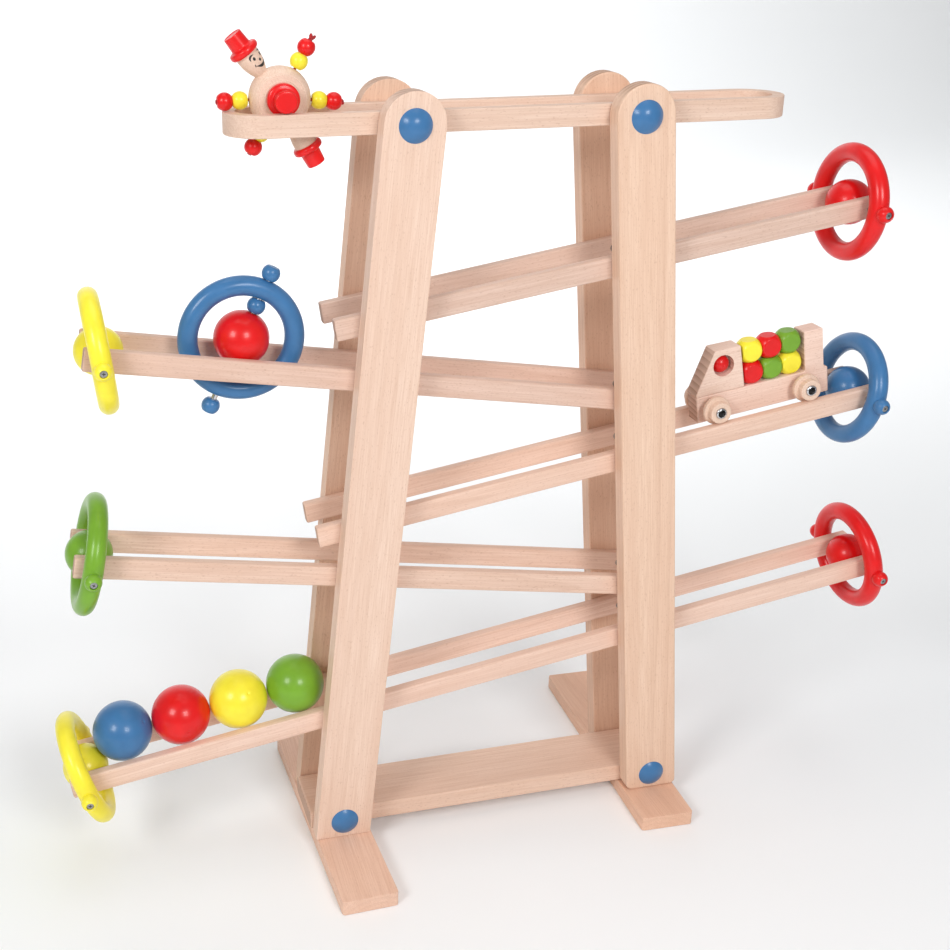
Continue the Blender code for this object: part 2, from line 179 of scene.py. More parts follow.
def beech(name, grain, heart, seed, tint=(1.0, 1.0, 1.0), depth=0.30, end_depth=1.0):
    """Bare beech: growth rings about a heart line, long fibres, short brown flecks, darker end grain.

    The heart is a world point on the middle line of the tree that the piece was sawn from.
    """
    material, nodes, links, shader = new_material(name)
    coords = nodes.new("ShaderNodeTexCoord")
    grain = Vector(grain).normalized()
    turn = X_AXIS.rotation_difference(grain).to_euler()

    def tone(colour):
        return (*(channel * share for channel, share in zip(colour, tint)), 1.0)

    fibres = stretched_noise(nodes, links, coords, (0.045, 0.0010, 0.0010), turn, seed, 4.0, 0.6)
    spread = remap(nodes, links, fibres, 0.34, 0.66, 0.0, 1.0)
    colour = mix_colour(nodes, links, spread, tone(BEECH_PALE), tone(BEECH_DEEP))
    bands = stretched_noise(nodes, links, coords, (0.40, 0.016, 0.016), turn, seed + 1.7, 2.0)
    shade = remap(nodes, links, bands, 0.38, 0.68, 0.0, 0.45)
    colour = mix_colour(nodes, links, shade, colour, tone(BEECH_BAND))
    growth = nodes.new("ShaderNodeMapping")
    growth.vector_type = "TEXTURE"
    growth.inputs["Location"].default_value = heart
    growth.inputs["Rotation"].default_value = (turn.x, turn.y + HEART_TILT[0], turn.z + HEART_TILT[1])
    growth.inputs["Scale"].default_value = HEART_STRETCH
    links.new(coords.outputs["Object"], growth.inputs["Vector"])
    rings = nodes.new("ShaderNodeTexWave")
    rings.wave_type = "RINGS"
    rings.rings_direction = "X"
    rings.wave_profile = "SAW"
    rings.inputs["Scale"].default_value = RINGS_SCALE
    rings.inputs["Distortion"].default_value = 1.6
    rings.inputs["Detail"].default_value = 2.0
    rings.inputs["Detail Scale"].default_value = 0.6
    links.new(growth.outputs["Vector"], rings.inputs["Vector"])
    late = remap(nodes, links, rings.outputs["Fac"], 0.45, 1.0, 0.0, depth)
    colour = mix_colour(nodes, links, late, colour, tone(BEECH_LATE))
    flecks = stretched_noise(nodes, links, coords, (0.0028, 0.00042, 0.0008), turn, seed + 7.3, 1.0)
    fleck_mask = remap(nodes, links, flecks, 0.63, 0.71, 0.0, 0.34)
    colour = mix_colour(nodes, links, fleck_mask, colour, tone(BEECH_FLECK))
    facing = nodes.new("ShaderNodeVectorMath")
    facing.operation = "DOT_PRODUCT"
    links.new(coords.outputs["Normal"], facing.inputs[0])
    facing.inputs[1].default_value = grain
    away = combine_values(nodes, links, "ABSOLUTE", facing.outputs["Value"], 0.0)
    end_grain = remap(nodes, links, away, 0.60, 0.90, 0.0, end_depth)
    stripes = remap(nodes, links, rings.outputs["Fac"], 0.2, 0.9, 0.0, 1.0)
    striped = mix_colour(nodes, links, stripes, tone(BEECH_END_PALE), tone(BEECH_END_DEEP))
    colour = mix_colour(nodes, links, end_grain, colour, striped)
    links.new(colour, shader.inputs["Base Color"])
    links.new(remap(nodes, links, fibres, 0.3, 0.7, *BEECH_ROUGHNESS), shader.inputs["Roughness"])
    shader.inputs["Specular IOR Level"].default_value = 0.35
    height = combine_values(nodes, links, "SUBTRACT", fibres, fleck_mask)
    add_bump(nodes, links, shader, height, 0.16, 0.00025)
    return material


def gloss_paint(name, colour, seed):
    """Gloss paint on turned wood: even colour with a faint flow, and the grain just showing through."""
    material, nodes, links, shader = new_material(name)
    coords = nodes.new("ShaderNodeTexCoord")
    turn = X_AXIS.rotation_difference(Vector((0.0, 0.0, 1.0))).to_euler()
    flow = stretched_noise(nodes, links, coords, (0.016, 0.016, 0.016), turn, seed, 3.0)
    deep = scaled(colour, 0.92)
    flowing = remap(nodes, links, flow, 0.35, 0.65, 0.0, 1.0)
    tint = mix_colour(nodes, links, flowing, deep, scaled(colour, 1.04))
    fibres = stretched_noise(nodes, links, coords, (0.020, 0.0011, 0.0011), turn, seed + 2.3, 3.0)
    pores = remap(nodes, links, fibres, 0.60, 0.74, 0.0, 0.16)
    tint = mix_colour(nodes, links, pores, tint, deep)
    links.new(tint, shader.inputs["Base Color"])
    links.new(remap(nodes, links, flow, 0.3, 0.7, 0.30, 0.38), shader.inputs["Roughness"])
    shader.inputs["Specular IOR Level"].default_value = 0.32
    shader.inputs["Coat Weight"].default_value = 0.22
    shader.inputs["Coat Roughness"].default_value = 0.14
    peel = stretched_noise(nodes, links, coords, (0.0045, 0.0045, 0.0045), turn, seed + 5.9, 1.0)
    faint_fibres = combine_values(nodes, links, "MULTIPLY", fibres, 0.25)
    height = combine_values(nodes, links, "ADD", peel, faint_fibres)
    add_bump(nodes, links, shader, height, 0.06, 0.0005)
    return material


def steel(name, tone, roughness):
    """Turned or plated steel with faint tool marks."""
    material, nodes, links, shader = new_material(name)
    coords = nodes.new("ShaderNodeTexCoord")
    marks = stretched_noise(nodes, links, coords, (0.0006, 0.004, 0.0006), NO_TURN, 3.0, 3.0)
    first = (tone, tone, tone * 1.02, 1.0)
    second = (tone * 0.72, tone * 0.72, tone * 0.74, 1.0)
    links.new(mix_colour(nodes, links, marks, first, second), shader.inputs["Base Color"])
    shader.inputs["Metallic"].default_value = 1.0
    dullness = remap(nodes, links, marks, 0.3, 0.7, roughness * 0.8, roughness * 1.3)
    links.new(dullness, shader.inputs["Roughness"])
    add_bump(nodes, links, shader, marks, 0.05, 0.0001)
    return material


def face_ink(name, colour):
    """Matt paint film with a fine grain."""
    material, nodes, links, shader = new_material(name)
    coords = nodes.new("ShaderNodeTexCoord")
    grain = stretched_noise(nodes, links, coords, (0.0008, 0.0008, 0.0008), NO_TURN, 2.0, 2.0)
    paler = (*(channel + 0.03 for channel in colour), 1.0)
    links.new(mix_colour(nodes, links, grain, (*colour, 1.0), paler), shader.inputs["Base Color"])
    links.new(remap(nodes, links, grain, 0.3, 0.7, 0.35, 0.5), shader.inputs["Roughness"])
    return material


def twisted_cord(name, colour):
    """Soft thread with slanting twists."""
    material, nodes, links, shader = new_material(name)
    coords = nodes.new("ShaderNodeTexCoord")
    wave = nodes.new("ShaderNodeTexWave")
    wave.bands_direction = "DIAGONAL"
    wave.inputs["Scale"].default_value = 420.0
    wave.inputs["Distortion"].default_value = 1.5
    links.new(coords.outputs["Object"], wave.inputs["Vector"])
    twist = mix_colour(nodes, links, wave.outputs["Fac"], scaled(colour, 0.5), (*colour, 1.0))
    links.new(twist, shader.inputs["Base Color"])
    shader.inputs["Roughness"].default_value = 0.85
    shader.inputs["Sheen Weight"].default_value = 0.3
    add_bump(nodes, links, shader, wave.outputs["Fac"], 0.6, 0.0003)
    return material


COLOURS = {
    "red": (0.780, 0.006, 0.007),
    "blue": (0.050, 0.180, 0.395),
    "yellow": (0.985, 0.845, 0.045),
    "green": (0.190, 0.405, 0.028),
}
PAINT = {}
for index, (name, colour) in enumerate(COLOURS.items()):
    PAINT[name] = gloss_paint("paint_" + name, colour, index + 1.0)
STEEL = steel("bright_steel", 0.72, 0.16)
DARK_STEEL = steel("dark_steel", 0.035, 0.22)
SCREW_STEEL = steel("screw_steel", 0.42, 0.30)
INK = face_ink("face_black", (0.012, 0.011, 0.012))
CORD = twisted_cord("cord_red", (0.62, 0.015, 0.02))

# ---------------------------------------------------------------- mesh tools


def finish_mesh(name, work, matrix, smooth_angle=32.0):
    """Turn a bmesh into an object at the given place, smooth except at sharp edges."""
    bmesh.ops.remove_doubles(work, verts=work.verts, dist=0.001 * MM)
    bmesh.ops.recalc_face_normals(work, faces=work.faces)
    mesh = bpy.data.meshes.new(name)
    work.to_mesh(mesh)
    work.free()
    mesh.transform(matrix)
    mesh.shade_smooth()
    mesh.set_sharp_from_angle(angle=math.radians(smooth_angle))
    obj = bpy.data.objects.new(name, mesh)
    bpy.context.scene.collection.objects.link(obj)
    return obj


def lathe(name, profile, matrix, steps=48, smooth_angle=32.0):
    """Turned solid about local Z from (radius, height) points in millimetres."""
    work = bmesh.new()
    steps //= FINE
    rings = []
    for radius, height in profile:
        if radius < 1e-6:
            rings.append([work.verts.new((0.0, 0.0, height * MM))])
            continue
        ring = []
        for index in range(steps):
            angle = 2 * math.pi * index / steps
            point = Vector((radius * math.cos(angle), radius * math.sin(angle), height))
            ring.append(work.verts.new(point * MM))
        rings.append(ring)
    for first, second in zip(rings, rings[1:]):
        for index in range(steps):
            after = (index + 1) % steps
            if len(first) == 1 and len(second) == 1:
                continue
            if len(first) == 1:
                work.faces.new((first[0], second[index], second[after]))
            elif len(second) == 1:
                work.faces.new((first[index], first[after], second[0]))
            else:
                work.faces.new((first[index], first[after], second[after], second[index]))
    return finish_mesh(name, work, matrix, smooth_angle)


def arc(centre_r, centre_z, radius, start, end, count):
    """Profile points of an arc; angles in degrees from the radius axis."""
    points = []
    for index in range(count + 1):
        angle = math.radians(start + (end - start) * index / count)
        points.append((max(0.0, centre_r + radius * math.cos(angle)), centre_z + radius * math.sin(angle)))
    return points


def rounded(points, radius, count=4):
    """Profile with every corner between its ends rounded into a short quadratic curve."""
    result = [points[0]]
    for before, corner, after in zip(points, points[1:], points[2:]):
        before, corner, after = Vector(before), Vector(corner), Vector(after)
        reach_in = min(radius, (before - corner).length * 0.45)
        reach_out = min(radius, (after - corner).length * 0.45)
        start = corner + (before - corner).normalized() * reach_in
        end = corner + (after - corner).normalized() * reach_out
        for index in range(count + 1):
            t = index / count
            point = start * (1 - t) ** 2 + corner * 2 * t * (1 - t) + end * t * t
            result.append((max(0.0, point.x), point.y))
    result.append(points[-1])
    return result


def mirrored(points):
    """The same profile points below the middle, from the last to the first."""
    return [(radius, -height) for radius, height in reversed(points)]


def ball_profile(radius, bore=0.0, count=30):
    """Turned ball with a small centre mark at each pole, or with a bore right through it."""
    mark = bore if bore else min(0.9, radius * 0.06)
    start = math.degrees(math.acos((mark + 0.25) / radius))
    outside = arc(0.0, 0.0, radius, start, -start, count)
    top = outside[0][1]
    if bore:
        mouth = [(bore, top - 0.5), (bore + 0.02, top - 0.2)]
        return mouth + outside + mirrored(mouth) + mouth[:1]
    pole = [(0.0, top - 0.45), (mark * 0.8, top - 0.40), (mark, top - 0.12)]
    return pole + outside + mirrored(pole)


def screwed_bead(radius, hole, depth, count=24):
    """Bead with a straight-sided hole in its outer pole for a screw head."""
    start = math.degrees(math.acos((hole + 0.3) / radius))
    outside = arc(0.0, 0.0, radius, start, -90, count)
    rim = outside[0][1]
    return [(0.0, rim - depth), (hole, rim - depth), (hole, rim - 0.15)] + outside


def barrel_bead(radius, half_length, count=18):
    """Bead with flat ends and a small dimple in each."""
    start = math.degrees(math.asin(half_length / radius))
    flat = radius * math.cos(math.radians(start))
    floor = half_length - 0.7
    end = [(0.0, floor), (1.4, floor), (1.6, half_length), (flat - 0.3, half_length)]
    outside = arc(0.0, 0.0, radius, start - 2.5, 2.5 - start, count)
    return end + outside + mirrored(end)


def torus(name, radius, tube, matrix, major=96, minor=28):
    """Round ring about local Z, very slightly flattened on its inside."""
    work = bmesh.new()
    major //= FINE
    minor //= FINE
    grid = []
    for i in range(major):
        around = 2 * math.pi * i / major
        row = []
        for j in range(minor):
            section = 2 * math.pi * j / minor
            reach = tube * (1.0 - 0.012 * max(0.0, -math.cos(section)) ** 6)
            r = (radius + reach * math.cos(section)) * MM
            z = reach * math.sin(section) * MM
            row.append(work.verts.new((r * math.cos(around), r * math.sin(around), z)))
        grid.append(row)
    for i in range(major):
        for j in range(minor):
            a, b = grid[i], grid[(i + 1) % major]
            k = (j + 1) % minor
            work.faces.new((a[j], b[j], b[k], a[k]))
    return finish_mesh(name, work, matrix, 80.0)


def box_scale(size):
    """Matrix that makes a unit cube this size, in millimetres."""
    return Matrix.Diagonal((*(Vector(size) * MM), 1.0))


def soft_box(name, size, edge, matrix, segments):
    """Box with rounded edges, in millimetres."""
    work = bmesh.new()
    bmesh.ops.create_cube(work, size=1.0, matrix=box_scale(size))
    bmesh.ops.bevel(
        work,
        geom=list(work.edges),
        offset=edge * MM,
        offset_type="OFFSET",
        segments=segments,
        profile=0.5,
        affect="EDGES",
    )
    return finish_mesh(name, work, matrix, 50.0)


def refine(node, edge, segments, angle=30.0):
    """The CAD node's own shape, welded, with its sharp edges softened."""
    work = bmesh.new()
    work.from_mesh(frame["nodes"][node].data)
    bmesh.ops.remove_doubles(work, verts=work.verts, dist=0.003 * MM)
    bmesh.ops.dissolve_limit(work, angle_limit=math.radians(0.6), verts=work.verts, edges=work.edges)
    obj = finish_mesh("fine_" + node, work, Matrix.Identity(4), 40.0)
    modifier = obj.modifiers.new("soft_edges", "BEVEL")
    modifier.width = edge * MM
    modifier.segments = segments
    modifier.limit_method = "ANGLE"
    modifier.angle_limit = math.radians(angle)
    modifier.harden_normals = True
    return obj


def dress(obj, body, material, node=None):
    """Give a piece its material and its body, and hide the CAD node that it stands for."""
    obj.data.materials.clear()
    obj.data.materials.append(material)
    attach(obj, body)
    if node:
        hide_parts(node)
    return obj


def painted(obj, body, colour, node=None):
    """Dress a piece in one of the four paints."""
    return dress(obj, body, PAINT[colour], node)


# ---------------------------------------------------------------- stand

FOOT_TINTS = {"foot_left": (1.03, 0.945, 0.925), "foot_right": (1.01, 0.88, 0.81)}
for index, (node, tint) in enumerate(FOOT_TINTS.items()):
    heart = middle(node) + Vector((12.0 - 30.0 * index, 0.0, -38.0)) * MM
    grain = (0.03 * (1 - 2 * index), 1.0, 0.0)
    material = beech("beech_" + node, grain, heart, 3.1 + index * 1.9, tint, 0.14, 0.10)
    dress(refine(node, 0.7, 3), "stand", material, node)

heart = middle("stretcher") + Vector((0.0, 46.0, -30.0)) * MM
stretcher_wood = beech("beech_stretcher", (1.0, 0.0, 0.0), heart, 8.4, (0.96, 0.93, 0.93), 0.12)
dress(refine("stretcher", 0.6, 3), "stand", stretcher_wood, "stretcher")

POST_LEAN = math.radians(5.1)
# Tints below 1 make a post darker and warmer: partly each piece's own tone, and on the back posts partly
# painted shade, the deeper colour of their shaded sides.
POST_TONES_AND_SHADE = {
    "post_left_front": (1.0, 1.0, 1.02),
    "post_left_back": (0.97, 0.92, 0.88),
    "post_right_front": (0.98, 0.94, 0.90),
    "post_right_back": (0.96, 0.88, 0.82),
}
for index, (side, lean) in enumerate((("left", POST_LEAN), ("right", -POST_LEAN))):
    for step, face in enumerate(("front", "back")):
        node = "post_" + side + "_" + face
        heart = middle(node) + Vector((9.0 - 16.0 * index, 30.0 + 14.0 * index, -60.0)) * MM
        # The tint carries the post's own tone and, on the back posts, painted shade.
        tint = POST_TONES_AND_SHADE[node]
        grain = (math.sin(lean), 0.0, math.cos(lean))
        seed = 11.3 + 2.7 * index + 1.1 * step
        material = beech("beech_" + node, grain, heart, seed, tint, 0.16 + 0.16 * index)
        dress(refine(node, 1.5, 4), "stand", material, node)

heart = middle("top_loop") + Vector((0.0, 20.0, -45.0)) * MM
loop_wood = beech("beech_loop", (1.0, 0.0, 0.0), heart, 21.7, (0.93, 0.93, 0.95), 0.12, 0.10)
dress(refine("top_loop", 1.3, 4), "stand", loop_wood, "top_loop")


def cap_profile(radius, height):
    """Pressed-in dome plug: a low round dome with a small rolled rim."""
    points = []
    for index in range(17):
        r = radius * 0.985 * math.sin(math.pi / 2 * index / 16)
        points.append((r, height * (1.0 - (r / radius) ** 2.3)))
    return points + [(radius, height * 0.02), (radius, 0.0), (0.0, 0.0)]


for side in ("left", "right"):
    for face in ("front", "back"):
        for level in ("top", "low"):
            node = "cap_" + level + "_" + side + "_" + face
            low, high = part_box(node)
            place = middle(node)
            place.y = high.y if face == "front" else low.y
            profile = cap_profile((high.x - low.x) / 2 / MM, (high.y - low.y) / MM)
            matrix = Matrix.Translation(place) @ (FRONT if face == "front" else BACK)
            painted(lathe("dome_" + node, profile, matrix, 64, 60.0), "stand", "blue", node)

# ---------------------------------------------------------------- rails and their screws

RAIL_HEIGHT = 17.5
RAIL_EDGE = 1.7
POST_BASE_X = 146.0
FOOT_HEIGHT = 13.0
SCREW_START_X = 110.0
SCREW_ROUNDS = 4
SCREW_SLOT_LIFT = 0.33
RAIL_TINTS = {
    1: (0.87, 0.865, 0.91),
    2: (0.90, 0.87, 0.905),
    3: (1.0, 0.975, 1.0),
    4: (0.95, 0.93, 0.95),
    5: (1.01, 0.99, 1.03),
}
SCREW_PROFILE = [(0.0, -0.4), (0.5, -0.4), (0.9, 0.25), (2.6, 0.34), (3.5, 0.12), (3.7, -0.6), (0.0, -0.6)]


def cross_slot(name, matrix, radius):
    """Two thin crossed bars laid on a screw's face; no recess is cut, and their dark paint is painted shade
    for it.
    """
    work = bmesh.new()
    for size in ((radius * 1.5, radius * 0.30, 0.10), (radius * 0.30, radius * 1.5, 0.10)):
        bmesh.ops.create_cube(work, size=1.0, matrix=box_scale(size))
    return finish_mesh(name, work, matrix)


# Near-black film for the screw slots: painted shade standing in for the cross recess.
SLOT_PAINTED_SHADE = face_ink("recess_painted_shade", (0.03, 0.028, 0.03))


def screw(name, matrix, scale, body):
    """Cross-head screw whose face looks along local Z."""
    profile = [(radius * scale, height * scale) for radius, height in SCREW_PROFILE]
    dress(lathe(name, profile, matrix, 28, 40.0), body, SCREW_STEEL)
    lifted = matrix @ Matrix.Translation((0.0, 0.0, SCREW_SLOT_LIFT * scale * MM))
    # The slot bars wear painted shade, the dark of a cross recess that is not cut.
    dress(cross_slot(name + "_slot", lifted, 2.4 * scale), body, SLOT_PAINTED_SHADE)


for ramp in range(1, 6):
    uphill = 1 if ramp % 2 else -1
    tilt = Matrix.Rotation(-uphill * SLOPE, 4, "Y")
    for face, sign in (("front", -1), ("back", 1)):
        node = "rail_" + str(ramp) + "_" + face
        low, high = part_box(node)
        span, width = (high.x - low.x) / MM, (high.y - low.y) / MM
        length = (span - RAIL_HEIGHT * math.sin(SLOPE)) / math.cos(SLOPE)
        matrix = Matrix.Translation(middle(node)) @ tilt
        rail = soft_box("fine_" + node, (length, width, RAIL_HEIGHT), RAIL_EDGE, matrix, 5)
        grain = SLOPE_UP if uphill > 0 else SLOPE_DOWN
        heart = middle(node) + Vector((0.0, 34.0 + 6.0 * sign, -26.0 + 7.0 * ramp)) * MM
        seed = 30.0 + ramp * 2.3 + sign * 0.7
        rail_wood = beech("beech_" + node, grain, heart, seed, RAIL_TINTS[ramp], 0.2)
        dress(rail, "stand", rail_wood, node)
        inner_y = (high.y if sign < 0 else low.y) - ORIGIN.y
        for side in (-1, 1):
            # The screw sits where the post's centre line crosses the middle of the rail,
            # found from a first guess in a few rounds.
            mid = middle(node)
            x = side * SCREW_START_X * MM
            for _ in range(SCREW_ROUNDS):
                z = mid.z + uphill * math.tan(SLOPE) * (x - (mid.x - ORIGIN.x))
                x = side * (POST_BASE_X * MM - (z - FOOT_HEIGHT * MM) * math.tan(POST_LEAN))
            place = Vector((ORIGIN.x + x, ORIGIN.y + inner_y, z))
            facing = FRONT if sign > 0 else BACK
            matrix = Matrix.Translation(place) @ facing @ Matrix.Rotation(0.4 + ramp, 4, "Z")
            screw("rail_screw_" + str(ramp) + face[0] + ("l" if side < 0 else "r"), matrix, 1.0, "stand")

# ---------------------------------------------------------------- stop balls and end rings

# Each set's colour, and how far its ring is turned about Y from upright, in radians.
END_SETS = {
    "1_right": ("red", 0.048),
    "2_left": ("yellow", -0.119),
    "3_right": ("blue", 0.196),
    "4_left": ("green", 0.221),
    "5_left": ("yellow", -0.359),
    "5_right": ("red", -0.116),
}
STOP_BALL_RADIUS = 19.1
RING_RADIUS = 41.5
RING_TUBE = 8.0
BEAD_RADIUS = 6.9
BEAD_Y = 51.0
SCREW_DEPTH = 1.9
BEAD_SCREW_HOLE = 3.1
BEAD_SCREW_SCALE = 0.78
PIN_PROFILE = [(0.0, 46.0), (2.1, 46.0), (2.1, 29.4), (1.6, 28.9), (0.0, 28.9)]

for key, (colour, lean) in END_SETS.items():
    place = middle("stop_ball_" + key)
    at = Matrix.Translation(place)
    ball = lathe("turned_stop_ball_" + key, ball_profile(STOP_BALL_RADIUS), at @ FRONT, 64, 60.0)
    painted(ball, "stand", colour, "stop_ball_" + key)
    body = "end_ring_" + key
    leaning = at @ Matrix.Rotation(lean, 4, "Y")
    ring = torus("turned_ring_" + key, RING_RADIUS, RING_TUBE, leaning @ Matrix.Rotation(math.pi / 2, 4, "Y"))
    painted(ring, body, colour, body)
    for label, sign in (("front", -1), ("back", 1)):
        out = leaning @ (FRONT if sign < 0 else BACK)
        seat = out @ Matrix.Translation((0.0, 0.0, BEAD_Y * MM))
        profile = screwed_bead(BEAD_RADIUS, BEAD_SCREW_HOLE, SCREW_DEPTH)
        painted(lathe("ring_bead_" + key + "_" + label, profile, seat, 44, 50.0), body, colour)
        dress(lathe("ring_pin_" + key + "_" + label, PIN_PROFILE, out, 24), body, STEEL)
        screw_y = BEAD_Y + BEAD_RADIUS - 0.95 - SCREW_DEPTH * 0.55
        turned = Matrix.Rotation(0.5 * sign + place.x * 9.0, 4, "Z")
        screw_at = out @ Matrix.Translation((0.0, 0.0, screw_y * MM)) @ turned
        screw("ring_screw_" + key + "_" + label, screw_at, BEAD_SCREW_SCALE, body)

# ---------------------------------------------------------------- loose balls

LOOSE_BALL_RADIUS = 25.0
for index, colour in enumerate(("blue", "red", "yellow", "green")):
    node = "loose_ball_" + colour
    roll = Matrix.Rotation(0.9 + index * 1.3, 4, "Y") @ Matrix.Rotation(0.5 + index * 0.9, 4, "X")
    at = Matrix.Translation(middle(node)) @ roll
    ball = lathe("turned_" + node, ball_profile(LOOSE_BALL_RADIUS, 0.0, 40), at, 80, 60.0)
    painted(ball, "ball_" + colour, colour, node)

# ---------------------------------------------------------------- ball in a ring

ROLLER_LEAN = math.radians(25.9)
ROLLER_RING_RADIUS = 42.0
ROLLER_TUBE = 8.0
ROLLER_BALL_RADIUS = 22.0
ROLLER_BORE = 2.7
ROLLER_AXLE = [(0.0, 56.0), (2.4, 56.0), (2.4, -59.0), (0.0, -59.0)]
# How far each bead's middle is along the axle from the ball's.
ROLLER_BEADS = {"outer_upper": 55.8, "inner_upper": 28.0, "inner_lower": -28.0, "outer_lower": -59.4}
roller_at = Matrix.Translation(middle("roller_ball")) @ Matrix.Rotation(ROLLER_LEAN, 4, "Y")
roller_ring = torus("turned_roller_ring", ROLLER_RING_RADIUS, ROLLER_TUBE, roller_at @ FRONT)
painted(roller_ring, "roller", "blue", "roller_ring")
core_profile = ball_profile(ROLLER_BALL_RADIUS, ROLLER_BORE, 36)
core = lathe("turned_roller_ball", core_profile, roller_at, 72, 60.0)
painted(core, "roller_core", "red", "roller_ball")
dress(lathe("roller_axle", ROLLER_AXLE, roller_at, 24), "roller", STEEL)
for label, distance in ROLLER_BEADS.items():
    seat = roller_at @ Matrix.Translation((0.0, 0.0, distance * MM))
    bead = lathe("roller_bead_" + label, barrel_bead(7.3, 5.55), seat, 44, 30.0)
    painted(bead, "roller", "blue")

# ---------------------------------------------------------------- truck

# The truck's own origin is on the rail tops, with u up the slope and v square to it.
TRUCK_ORIGIN = world(230.0, 0.0, 366.6)
DRIVER_RADIUS = 8.3
DRIVER_PLACE = (-25.6, 0.0, 45.0)
truck_at = Matrix.Translation(TRUCK_ORIGIN) @ Matrix.Rotation(-SLOPE, 4, "Y")
heart = middle("truck_bed") + Vector((0.0, 6.0, -75.0)) * MM
bed_wood = beech("beech_bed", SLOPE_UP, heart, 51.0, (1.08, 1.09, 1.17), 0.12)
dress(refine("truck_bed", 0.3, 2, 25.0), "truck", bed_wood, "truck_bed")
heart = middle("truck_cab") + Vector((0.0, 5.0, -90.0)) * MM
cab_wood = beech("beech_cab", SLOPE_UP, heart, 53.6, (1.05, 1.08, 1.15), 0.12)
dress(refine("truck_cab", 0.3, 2, 25.0), "truck", cab_wood, "truck_cab")
driver_at = truck_at @ Matrix.Translation(Vector(DRIVER_PLACE) * MM) @ FRONT
painted(lathe("driver", ball_profile(DRIVER_RADIUS, 0.0, 24), driver_at, 48, 60.0), "truck", "red")

WHEEL = [
    (0.0, 24.9), (5.0, 24.9), (5.3, 25.4), (8.9, 25.4), (9.35, 24.9), (9.4, 19.6), (9.8, 19.1), (11.6, 18.9),
    (12.35, 18.1), (12.35, 15.2), (11.6, 14.3), (2.6, 14.2), (0.0, 14.2),
]
AXLE_PROFILE = [(0.0, 14.4), (2.5, 14.4), (2.5, -14.4), (0.0, -14.4)]
heart = TRUCK_ORIGIN + Vector((30.0, 0.0, -25.0)) * MM
wheel_wood = beech("beech_wheels", (0.0, 1.0, 0.0), heart, 60.0, (0.98, 0.99, 1.0), 0.06, 0.0)
CAP_RIM = [
    (3.2, 24.8), (3.2, 26.1), (3.5, 26.5), (4.0, 26.4), (4.6, 25.9), (5.0, 25.2), (5.0, 24.8), (3.2, 24.8),
]
CAP_EYE = [(0.0, 26.4), (1.6, 26.3), (2.8, 25.9), (3.25, 25.5), (3.25, 24.9), (0.0, 24.9)]
for wheel in ("front", "rear"):
    node = "truck_wheels_" + wheel
    body = "wheels_" + wheel
    axle_at = Matrix.Translation(middle(node))
    for label, turn in (("near", FRONT), ("far", BACK)):
        piece = lathe("wheel_" + wheel + "_" + label, rounded(WHEEL, 0.35, 3), axle_at @ turn, 56, 40.0)
        dress(piece, body, wheel_wood, node)
        rim = lathe("wheel_cap_" + wheel + "_" + label, CAP_RIM, axle_at @ turn, 36, 50.0)
        dress(rim, body, STEEL)
        eye = lathe("wheel_cap_eye_" + wheel + "_" + label, CAP_EYE, axle_at @ turn, 32, 50.0)
        dress(eye, body, DARK_STEEL)
    dress(lathe("axle_" + wheel, AXLE_PROFILE, axle_at @ FRONT, 24), body, STEEL)


def tumbled_cube(name, half, ball_radius, matrix):
    """Cube with its corners and edges ground to a ball, so each face ends in a round outline."""
    work = bmesh.new()
    bmesh.ops.create_uvsphere(work, u_segments=72 // FINE, v_segments=36 // FINE, radius=ball_radius * MM)
    for vertex in work.verts:
        for axis in range(3):
            limit = half[axis] * MM
            vertex.co[axis] = max(-limit, min(limit, vertex.co[axis]))
    return finish_mesh(name, work, matrix, 24.0)


CARGO_HALF = (8.95, 8.55, 9.5)
CARGO_BALL = 11.6
# Where each cube sits along the slope and square to it, and its colour.
CARGO = {
    "low_1": (2.6, 30.8, "red"),
    "low_2": (20.9, 30.8, "green"),
    "low_3": (39.2, 30.8, "yellow"),
    "top_1": (2.6, 50.4, "yellow"),
    "top_2": (20.9, 50.4, "red"),
    "top_3": (39.2, 50.4, "green"),
}
for key, (u, v, colour) in CARGO.items():
    matrix = truck_at @ Matrix.Translation((u * MM, 0.0, v * MM))
    cube = tumbled_cube("tumbled_" + key, CARGO_HALF, CARGO_BALL, matrix)
    painted(cube, "truck", colour, "cargo_" + key)

# ---------------------------------------------------------------- clown

CLOWN_AT = Matrix.Translation(world(-182.9, 0.0, 643.9))
HUB = [
    (0.0, 27.7), (7.4, 27.7), (8.3, 26.8), (8.3, 18.3), (11.0, 17.8), (12.2, 16.8), (12.2, 12.6),
    (11.3, 11.7), (2.8, 11.6),
]
hub_profile = rounded(HUB, 0.9, 4) + [(2.8, 0.0)]
for label, turn in (("front", FRONT), ("back", BACK)):
    hub = lathe("turned_hub_" + label, hub_profile, CLOWN_AT @ turn, 56, 40.0)
    painted(hub, "clown_axle", "red", "clown_hubs")

BODY_HALF = [
    (3.3, 11.3), (12.9, 11.3), (13.4, 10.9), (13.7, 10.1), (14.4, 10.0), (17.3, 9.7), (17.8, 9.2),
    (18.5, 9.1), (20.4, 7.5), (21.8, 5.5), (22.9, 2.8), (23.2, 0.0),
]
body_profile = BODY_HALF + mirrored(BODY_HALF[:-1]) + [BODY_HALF[0]]
heart = CLOWN_AT.translation + Vector((8.0, 0.0, -6.0)) * MM
clown_wood = beech("beech_clown", (0.0, 1.0, 0.15), heart, 71.0, (0.98, 1.0, 1.02), 0.10, 0.0)
body_piece = lathe("turned_clown_body", body_profile, CLOWN_AT @ FRONT, 80, 28.0)
dress(body_piece, "clown", clown_wood, "clown_figure")

